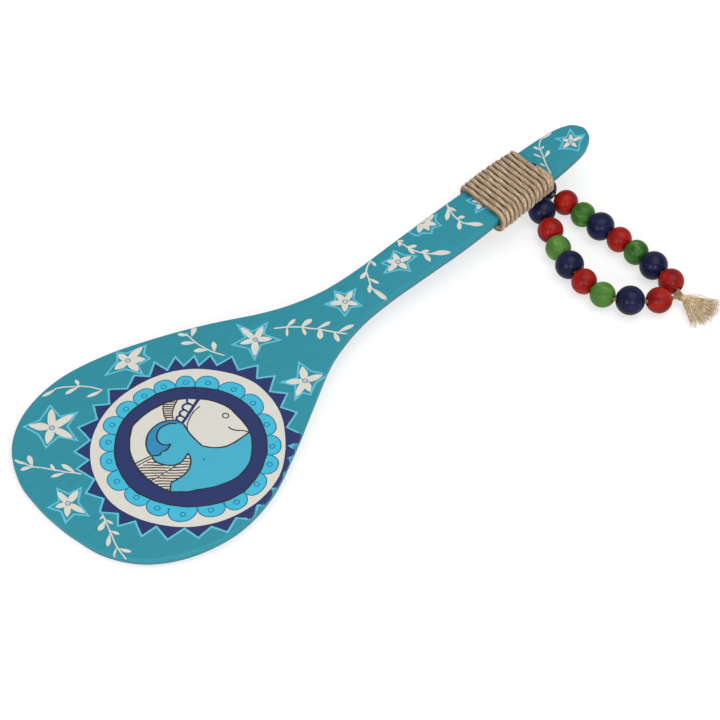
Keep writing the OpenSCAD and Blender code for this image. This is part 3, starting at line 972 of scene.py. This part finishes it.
# Flowers: the middle, the petals' tips, and the outline's tips and notches in turn
FLOWERS = [
    ((34.3, 38.2), [(28, 46.4), (41, 46.4), (46, 37.2), (37, 27.6), (27, 33)], 1.75,
     [(26, 47.3), (33.5, 45.2), (42, 48.2), (41, 40.6), (47.8, 37), (39.5, 34), (37.5, 25.2), (33, 32.5),
      (25.3, 31.6), (27.8, 39.5)]),
    ((83.4, 43.8), [(83, 49.6), (93.4, 45.4), (89.6, 39), (82.6, 36), (76, 44)], 1.7,
     [(83.3, 51.2), (85.8, 47.4), (94.8, 44.8), (91, 41.6), (91, 37.7), (84.8, 38.8), (82.8, 33.4),
      (79.2, 41), (70.8, 44.4), (80, 46.8)]),
    ((12, 1.8), [(13, 9.6), (19.6, 4), (13.6, -7), (7, -3.4), (6.8, 4)], 1.35,
     [(14, 11), (15.6, 5.4), (21.6, 4.2), (15.4, -0.8), (13.8, -9.2), (10, -4.4), (4.6, -5.3), (7, 0.4),
      (4.6, 6), (10, 5.3)]),
    ((132, 13), [(132.3, 22.8), (139.8, 16.2), (137.6, 8.2), (125.4, 6.4), (125.5, 16)], 1.5,
     [(132.3, 25.2), (134.6, 17.2), (142.6, 16.6), (136.8, 12.6), (139.8, 5), (131.8, 9), (123.8, 4.8),
      (126.4, 11.2), (122.7, 18), (129.8, 17)]),
    ((131, -20), [(124.4, -14.6), (135.8, -13.2), (138.8, -23), (128.2, -26), (122.2, -23.6)], 1.6,
     [(122.8, -13.2), (129.8, -16.2), (136.6, -10.4), (136.8, -18), (140.8, -24.4), (133.4, -24.2),
      (127, -27.4), (125.2, -24), (120.4, -24.8), (126.2, -18.8)]),
    ((176.5, 1), [(177, 7.4), (183.3, 3.2), (179.3, -4.4), (172, -3.2), (170.4, 4.8)], 1.35,
     [(177.6, 8.8), (179.6, 4.4), (185.2, 3.2), (180.2, -0.6), (180, -6), (175.8, -3.2), (170.4, -5),
      (171.6, 0.4), (169, 6.2), (174, 4.8)]),
    ((210.8, 1.4), [(207.4, 5.2), (213.4, 6.4), (217.4, -0.5), (210.7, -4.6), (203.6, 0.4)], 1.25,
     [(205, 6), (210.2, 5.2), (214.4, 7.7), (215.8, 2.6), (219.3, -2), (213.4, -2), (210.7, -6.4),
      (208, -2.6), (201.6, 0.8), (206, 2.6)]),
    ((236.6, 11.2), [(230.6, 7.6), (235.2, 5.2), (240.2, 5.4), (243.8, 10.4), (240, 15)], 1.5,
     [(227.5, 11), (228.8, 6.5), (231.8, 6.2), (234.6, 3.1), (237.4, 5.2), (241.3, 3.4), (241.6, 7.6),
      (245, 10.2), (244, 13)]),
    ((266.8, 1.2), [(262.5, 4.1), (260.8, -1.3), (266, -5), (271, 2), (267, 7)], 1.3,
     [(261.2, 6.2), (262.4, 0.9), (258.6, -2.2), (264, -3), (266, -7), (269, -2), (273, 2), (268, 6),
      (267, 9), (264.5, 5.6)]),
    ((324.4, -1.6), [(323, 2.4), (328.2, 1.6), (330.8, -3.2), (323.8, -6), (318.8, -2)], 0.9,
     [(320.9, 4.8), (325.6, 1.8), (330.2, 4), (328.6, -1), (332.6, -3), (327.2, -4.8), (322.4, -8.6),
      (320.8, -4.6), (317, -1.2), (322, 0.8)]),
]
for k, (middle, tips, half, star) in enumerate(FLOWERS):
    sky.stroke(star, 0.85, STAR_H + 0.0004 * k, closed=True, sharp=True, wobble=0.12)
    middle = np.array(middle)
    for j, tip in enumerate(tips):
        tip = np.array(tip)
        root = middle + (tip - middle) * 0.03
        cream.leaf(root, tip, half * rng.uniform(1, 1.16), PETAL_H + 0.001 * j, fullness=0.85)
    rim_blue.stroke(oval(middle, 1.05, 1.15, 9), 0.42, FLOWER_EYE_H, steps=3, closed=True, wobble=0.1)

# Sprigs: the stem, then the x and y of each leaf's base and tip, and its half width
SPRIGS = [
    ([(49.5, 54.3), (53, 52.3), (56.5, 49.2), (59.4, 46.6), (61.8, 43.4), (64.2, 38.9)],
     [(50.6, 53.8, 42.8, 54.8, 0.8), (58.4, 47.4, 51, 48.6, 0.95), (58, 47.6, 59.6, 51.8, 0.8),
      (64.3, 38.8, 56.6, 40.7, 0.85)]),
    ([(12.6, 33.4), (14.2, 28), (17.2, 23.8), (20, 19.4), (22.4, 15.6), (24.8, 12.6), (26.6, 9.6)],
     [(13.2, 30.4, 11.2, 36.2, 0.65), (14.3, 27.6, 17, 33.6, 1.2), (14.4, 27.4, 9.4, 29.9, 0.95),
      (19.9, 18.6, 20.8, 23.2, 0.75), (22.2, 15.2, 16.2, 17.8, 0.9), (25.2, 12, 24, 19.8, 1.15)]),
    ([(9.9, -37.6), (10.6, -33.5), (11.5, -30), (13.2, -25.6), (15, -21.6), (16.8, -17), (18.6, -12.6)],
     [(11.3, -31, 14, -36.4, 0.95), (11.4, -30.2, 6.2, -33.6, 0.6), (14, -22.8, 8.8, -27.2, 1.0),
      (15, -21.4, 16.6, -26, 0.75), (17.4, -16, 11.6, -18.3, 1.25), (17.6, -15.6, 18.4, -20, 0.6),
      (18.2, -13.4, 16, -14.2, 0.5)]),
    ([(112.6, 37.8), (112.1, 34), (112, 30), (112.6, 25.4), (113.8, 20.6), (116, 15.6)],
     [(112.3, 36, 109.6, 39.8, 0.95), (113, 34.2, 118.2, 37.8, 1.3), (112.2, 30.2, 106.8, 34.8, 1.05),
      (113, 23.2, 107.9, 27.3, 1.2), (113.9, 20.4, 117.9, 25.3, 1.15)]),
    ([(142.5, 12), (147, 8.6), (151.4, 4.4), (153.6, 1.2), (156.2, -2.2), (159.8, -8), (161.4, -10.4),
      (163.6, -13.6)],
     [(147.2, 8.6, 153.2, 9.2, 0.95), (147.6, 8.8, 143.4, 4.4, 0.65), (151.4, 3.9, 158.4, 4, 1.3),
      (152.2, 4, 149.8, -1, 0.85), (156, -1.6, 163.3, -3, 1.0), (157.4, -2.3, 152.8, -7.2, 1.4),
      (160.8, -9.8, 169.6, -11.8, 1.05), (160.3, -8.2, 157.6, -14.2, 1.15)]),
    ([(203, 10.8), (199.6, 9.6), (196.4, 7.4), (194.6, 4.6), (193, 2), (191.2, -0.6), (190.6, -3)],
     [(190.9, -1.2, 190.6, -11.6, 1.35), (192.2, 1, 188, -3, 0.95), (194, 4, 195.2, -2, 0.85),
      (197, 7.6, 191.2, 6, 1.1), (202.2, 11, 201.8, 6.6, 0.75)]),
    ([(220, 11.2), (220.2, 7.6), (220.6, 4.6), (221.2, 1), (222.4, -1.8), (224.2, -4.6), (226.6, -7)],
     [(220.3, 10.9, 218.2, 7.6, 0.7), (220.5, 11, 222, 8.8, 0.6), (220, 5.2, 224.2, 2.4, 1.0),
      (220.2, 4.6, 219.8, -0.4, 0.9), (222.3, -1.6, 226, -3.7, 0.9), (222.9, -2.6, 221.5, -8.8, 1.15),
      (224, -4.8, 232.3, -11.4, 1.5)]),
    ([(253, 11.2), (251.6, 8.4), (250.2, 4.6), (249.6, 1), (249.6, -2), (250.8, -4.8), (252.6, -7)],
     [(252, 9.4, 245.4, 4, 1.05), (252.1, 10.4, 253, 5, 0.75), (249.5, -0.2, 245.4, -4.4, 1.1),
      (249.6, 1.4, 253.1, -0.4, 1.05), (249.8, -2.6, 255.6, -9.9, 1.3)]),
    ([(302, -9.6), (303.6, -6.4), (305.4, -3), (307.6, 0.4), (309.6, 3.6), (311.4, 6.4), (313.6, 8.4),
      (316.4, 9.5), (319, 9.6)],
     [(304, -4.8, 303.2, -1.2, 0.5), (306.9, 0.4, 305.8, 5.2, 0.5), (307.8, 0, 312.8, 1.6, 0.9),
      (309.9, 4.8, 309.4, 8.4, 0.75), (310.4, 4.9, 313.2, 5.2, 0.5), (316, 9.2, 322.4, 8.8, 0.65)]),
]
THIN_SPRIGS = (0, 1, 2, 3, 8)
for k, (stem, leaves) in enumerate(SPRIGS):
    thin = k in THIN_SPRIGS
    cream.stroke(stem, 0.62 if thin else 0.75, STEM_H + 0.0004 * k, ends=(0.5, 0.3), wobble=0.15)
    for j, (base_x, base_y, tip_x, tip_y, half) in enumerate(leaves):
        bow = rng.uniform(-0.3, 0.3)
        cream.leaf((base_x, base_y), (tip_x, tip_y), half, LEAF_H + 0.0006 * j, bow=bow, fullness=1.55)

for paint in (navy, cream, sky, aqua, rim_blue, body_blue, mid_blue, ink, brown):
    paint.build()

# ---------------------------------------------------------------- the twine round the handle
TWINE_D, TURNS, PITCH, LEAN, CLEAR = 2.9, 11.75, 2.95, 1.0, 0.12
WRAP_START = HOLE_X - 0.7 - TURNS * PITCH
CORNER_STEPS, TWINE_SIDES, HAIR_TRIES = 10, 20, 220
widths = np.array(OUTLINE)
wrap_points = []
for k in range(int(TURNS * 4 * CORNER_STEPS) + 1):
    turn_no = k / (4 * CORNER_STEPS)
    step = int(turn_no % 1 * 4 * CORNER_STEPS + 0.5)
    corner, part = step // CORNER_STEPS % 4, step % CORNER_STEPS / (CORNER_STEPS - 1)
    angle = math.radians(-90 - 90 * corner - 90 * part)
    x = WRAP_START + turn_no * PITCH
    w = np.interp(x, widths[:, 0], widths[:, 1])
    stray = np.interp(x, widths[:, 0], widths[:, 2])
    reach = RIM_R + TWINE_D / 2 + CLEAR + 0.18 * noise.noise(Vector((turn_no * 1.9, 3, 0)))
    near, far = math.cos(math.pi / 2 * turn_no / TURNS), math.sin(math.pi * turn_no / TURNS) - 0.4
    slack = 0.8 * (near if corner in (0, 1) else far)
    y = stray + (-1 if corner in (0, 1) else 1) * (w - RIM_R) + (reach + slack) * math.cos(angle)
    z = THICK / 2 + (-1 if corner in (0, 3) else 1) * (THICK / 2 - RIM_R) + reach * math.sin(angle)
    wander = 0.32 * noise.noise(Vector((turn_no * 2.3, y * 0.12, 0)))
    wrap_points.append([x + LEAN / 2 * y / w + wander, y, z])
wrap_flat = resample(wrap_points, 0.55)
wrap_line = on_board(wrap_flat)
parts = [rope(wrap_line, TWINE_D, 24, sides=TWINE_SIDES, lumps=0.1, seed=9.0, depth=0.5)]
twine_verts, _, twine_uvs = parts[0]
centres = np.repeat(wrap_line, TWINE_SIDES, 0)
sideways = np.abs((twine_verts[: len(centres)] - centres) @ board_x) / (TWINE_D / 2)


def hair_taper(run, total):
    return 1 - 0.6 * run / total


# Loose hairs on the top face and the far edge of the handle
for k in range(HAIR_TRIES):
    spot = rng.randrange(10, len(wrap_line) - 20)
    if wrap_flat[spot, 2] < THICK / 2 or wrap_flat[spot, 1] < -11:
        continue
    along = unit(wrap_line[spot + 4] - wrap_line[spot])
    out = np.array([0, 1, 0]) if wrap_flat[spot, 1] > 11 else board_z
    first = wrap_line[spot] + out * TWINE_D * 0.42
    way = unit(along * rng.choice((-1, 1)) + 0.25 * np.array([rng.gauss(0, 1) for _ in range(3)]))
    reach = rng.uniform(1.5, 5)
    tip = first + way * reach + out * rng.uniform(0.3, 1.1)
    hair = resample(spline([first, (first + tip) / 2 + out * rng.uniform(0.1, 0.6), tip], 4), 0.9)
    parts.append(rope(hair, rng.uniform(0.1, 0.17), 9, sides=4, lumps=0, depth=0, taper=hair_taper))
verts, faces, uvs = join_parts(parts)
# Weight of the painted shade: 1 in the groove between turns and half that between plies
between_plies = 1 - np.clip(np.abs(twine_uvs[: len(sideways), 1] * PLIES % 1 - 0.5) * 4, 0, 1)
painted_groove_shade = np.maximum(np.clip(sideways * 1.6 - 0.6, 0, 1), 0.5 * between_plies)
wrap = make_object("handle_wrap_twine", verts, faces, uvs=uvs)
groove_shade_weight = wrap.data.attributes.new("groove_shade_weight", "FLOAT", "POINT")
groove_shade_weight.data.foreach_set("value", np.concatenate([painted_groove_shade, np.zeros(len(verts) - len(painted_groove_shade))]))
finish_piece(wrap, twine_mat, "board", ["handle_wrap"])



# ---------------------------------------------------------------- beads
def bead_half(strand, i):
    """Half the bead's length: nearly round, but leaving a sliver of cord before its neighbours."""
    ends = [bore_ends(strand, k) for k in range(BEADS)]
    room = [np.linalg.norm(ends[k + 1][0] - ends[k][2]) for k in (i - 1, i) if 0 <= k < BEADS - 1]
    growth = min([0.11 * bead_radius(i)] + [0.5 * (gap - 0.3) for gap in room])
    return bead_radius(i) * FLATNESS + max(0, growth)


def bead_mesh(radius, half, seed):
    """A turned bead about its own Z axis: a round arc with softened edges where the bore comes through."""
    wall = radius - BORE_R
    arc_r = (half**2 + wall**2) / (2 * wall)
    centre = radius - arc_r
    reach = math.asin(half / arc_r)
    angles = np.linspace(-0.965 * reach, 0.965 * reach, 35)
    profile = [(centre + arc_r * math.cos(a), arc_r * math.sin(a)) for a in angles]
    lip = [(0.42, 0.987), (0.16, 0.985), (0.02, 0.955), (0, 0.91)]
    lip = [(BORE_R + wide, high * half) for wide, high in lip]
    profile += lip + [(BORE_R, 0.4 * half), (BORE_R, -0.4 * half)] + [(r, -z) for r, z in reversed(lip)]
    around = 64
    verts, faces = [], []
    for k in range(around):
        a = 2 * math.pi * k / around
        for r, z in profile:
            wave = noise.noise(Vector((math.cos(a) * 0.9 + seed, math.sin(a) * 0.9, z * 0.16)))
            grow = 1 + 0.012 * wave * (r - BORE_R) / wall - 0.006
            verts.append((r * grow * math.cos(a), r * grow * math.sin(a), z))
    m = len(profile)
    for k in range(around):
        for j in range(m):
            k2, j2 = (k + 1) % around, (j + 1) % m
            faces.append((k * m + j, k2 * m + j, k2 * m + j2, k * m + j2))
    return verts, faces


def bead_material(name, color, deep, bright, fading):
    """Dyed wood under lacquer: grain along the bore, dark pores, and dye that faded more on some beads."""
    s = Shader(name, coat=0.1)
    s.set(Coat_Roughness=0.16, Specular_IOR_Level=0.08)
    info = s.add("ShaderNodeObjectInfo")
    shift = s.add("ShaderNodeCombineXYZ")
    s.link(info.outputs["Random"], shift.inputs["X"])
    s.link(info.outputs["Random"], shift.inputs["Z"])
    moved = s.add("ShaderNodeVectorMath", operation="ADD")
    s.link(s.coords.outputs["Object"], moved.inputs[0])
    s.link(shift.outputs["Vector"], moved.inputs[1])
    wood = moved.outputs["Vector"]
    pool = s.noise((170, 170, 120), source=wood)
    grain = s.noise((900, 900, 110), detail=4, roughness=0.7, source=wood)
    pores = s.noise((2600, 2600, 420), detail=2, source=wood)
    tone = s.ramp(pool, [(0.3, deep), (0.52, color), (0.75, bright)])
    tone = s.mix(s.mask(grain, 0.3, 0.55, 0.75, 0), tone, deep)
    tone = s.mix(s.mask(pores, 0.68, 0.76, 0, 0.55), tone, scaled(deep, 0.6))
    faded = s.math("MULTIPLY", info.outputs["Random"], fading)
    s.color(s.mix(faded, tone, bright))
    s.rough(pool, 0.3, 0.45)
    s.bump(s.math("ADD", grain, s.math("MULTIPLY", pores, 0.4)), 0.05, 0.4)
    return s.mat


bead_mats = [
    bead_material("navy_wood", srgb(22, 28, 66), srgb(10, 13, 36), srgb(36, 43, 92), 0.1),
    bead_material("red_wood", srgb(162, 20, 14), srgb(100, 11, 9), srgb(188, 34, 18), 0.15),
    bead_material("green_wood", srgb(58, 118, 42), srgb(38, 72, 26), srgb(122, 174, 72), 0.3),
]
bead_objects = {"a": [], "b": []}
for strand in "ab":
    for i in range(BEADS):
        verts, faces = bead_mesh(bead_radius(i), bead_half(strand, i), 10 * i + (3 if strand == "a" else 7))
        bead = make_object(f"bead_{strand}{i + 1}_turned", verts, faces)
        along = bore(strand, i)
        across = unit(np.cross((0, 0, 1), along))
        bead.rotation_mode = "QUATERNION"
        turned = Matrix(np.stack([across, np.cross(along, across), along], 1).tolist())
        bead.rotation_quaternion = turned.to_quaternion()
        bead.location = Vector(bead_centre(strand, i)) * MM
        node = f"bead_{strand}{i + 1}"
        finish_piece(bead, bead_mats[i % 3], node, [node])
        bead_objects[strand].append(bead)

# ---------------------------------------------------------------- knot and tassel
# The knot is a trefoil, tipped a little
KNOT_CORD_D = 1.9
KNOT_TIP = np.array([[0.95, 0.1, 0.3], [-0.1, 0.99, 0.05], [-0.3, -0.05, 0.95]])
a = 2 * math.pi * np.arange(90) / 90
trefoil = np.column_stack([np.sin(a) + 2 * np.sin(2 * a), np.cos(a) - 2 * np.cos(2 * a), -np.sin(3 * a)])
knot_line = knot + trefoil * (KNOT_R - KNOT_CORD_D / 2) / 3 @ KNOT_TIP
knot_line = resample(np.vstack([knot_line, knot_line[:2]]), 0.35)
verts, faces, uvs = rope(knot_line, KNOT_CORD_D, 6, sides=CORD_SIDES, seed=5.0)
knot_obj = make_object("cord_knot_tied", verts, faces, uvs=uvs)
finish_piece(knot_obj, cord_mat, "bead_loop", ["cord_knot"])

# The fibres spread from the root to a fan of ends, given from under the hole
FIBRES, FIBRE_STEP = 300, 1.3
tassel_root = knot + np.array([0.35, -3.0, 0.0])
FAN = np.array([[16.5, -106.5], [12.5, -110], [6.5, -112], [-0.5, -111.5], [-7.5, -109]])
parts = []


def fibre_taper(run, total):
    return 1.0 - 0.55 * (run / total) ** 2


for k in range(FIBRES):
    spot = rng.random() * (len(FAN) - 1)
    first = min(int(spot), len(FAN) - 2)
    fan_end = FAN[first] * (1 - spot + first) + FAN[first + 1] * (spot - first)
    end = hole_foot + np.array([*fan_end, rng.uniform(0.4, 3.2)])
    end = tassel_root + (end - tassel_root) * rng.uniform(0.72, 1.0)
    end[2] = rng.uniform(0.35, 3.4)
    start = tassel_root + np.array([rng.uniform(-1.1, 1.1), rng.uniform(0.3, 1.4), rng.uniform(-1.2, 1.2)])
    start[2] = max(start[2], 1.0)
    bow = np.array([rng.uniform(-1.2, 1.2), rng.uniform(-0.5, 0.5), rng.uniform(-0.3, 1.2)])
    mid = (start + end) / 2 + bow
    mid[2] = max(mid[2], 0.6)
    tip = end + np.array([rng.uniform(-0.7, 0.7), rng.uniform(-0.7, 0.3), 0])
    bends = [start, (start + mid) / 2 + bow * 0.2, mid, (mid + end) / 2, end, tip]
    line = resample(spline(bends, 4), FIBRE_STEP)
    phase, waves, sway = rng.uniform(0, 6.3), rng.uniform(0.25, 0.55), rng.uniform(0.2, 0.9)
    along = np.linspace(0, 1, len(line))[:, None]
    run = np.arange(len(line))[:, None] * FIBRE_STEP
    line = line + along * sway * np.sin(phase + waves * run) * np.array([0.97, 0.25, 0.4])
    line[:, 2] = np.maximum(line[:, 2], 0.4)
    parts.append(rope(line, rng.uniform(0.22, 0.48), 5, sides=6, lumps=0, taper=fibre_taper))
verts, faces, uvs = join_parts(parts)
tassel = make_object("tassel_fibres", verts, faces, uvs=uvs)
finish_piece(tassel, fibre_mat, "tassel", ["tassel"])

# ---------------------------------------------------------------- the table
FLOOR_REACH = 4
corners = [(x * FLOOR_REACH, y * FLOOR_REACH, 0) for x, y in ((-1, -1), (1, -1), (1, 1), (-1, 1))]
floor = link("floor", bpy.data.meshes.new("floor"))
floor.data.from_pydata(corners, [], [(0, 1, 2, 3)])
floor_shader = Shader("pale_table", roughness=0.7)
floor_shader.set(Base_Color=(0.3, 0.3, 0.3, 1), Specular_IOR_Level=0.2)
floor_shader.set(Emission_Color=(1, 1, 1, 1), Emission_Strength=0.64)
floor.data.materials.append(floor_shader.mat)
